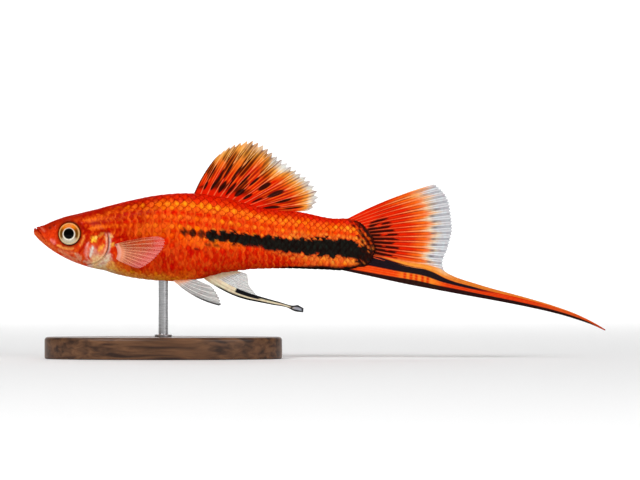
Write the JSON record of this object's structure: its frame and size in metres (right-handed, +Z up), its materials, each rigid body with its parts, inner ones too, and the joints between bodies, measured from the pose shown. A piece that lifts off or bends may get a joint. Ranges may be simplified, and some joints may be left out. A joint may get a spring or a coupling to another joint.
{
  "type": "swordtail fish model",
  "caption": "Life-size still model of a male red swordtail with a black side stripe, raised dorsal fin and long pointed tail sword, held by one rod on an oval base.",
  "frame": {"origin": "centre of the stand base's underside, on the rod's axis", "axes": "+X from the snout towards the sword's tip; +Y towards the fish's right side; +Z up from the base"},
  "size_m": [0.13, 0.027, 0.0494],
  "materials": {
    "skin": "painted, moist sheen",
    "gill_cover": "painted, pearly",
    "eye": "clear gloss",
    "red_fin": "thin, slightly see-through",
    "pink_fin": "thin, see-through",
    "clear_fin": "thin, see-through",
    "stand_base": "dark, satin lacquer",
    "stand_rod": "brushed"
  },
  "bodies": {
    "root": {"head": "skin", "lower_jaw": "skin", "trunk": "skin", "tail": "skin", "gill_cover_left": "gill_cover", "gill_cover_right": "gill_cover", "eye_left": "eye", "eye_right": "eye", "dorsal_fin": "red_fin", "caudal_fin": "red_fin", "sword": "red_fin", "pectoral_fin_left": "pink_fin", "pectoral_fin_right": "pink_fin", "pelvic_fin_left": "clear_fin", "pelvic_fin_right": "clear_fin", "gonopodium": "clear_fin", "stand_base": "stand_base", "stand_rod": "stand_rod"}
  },
  "joints": []
}
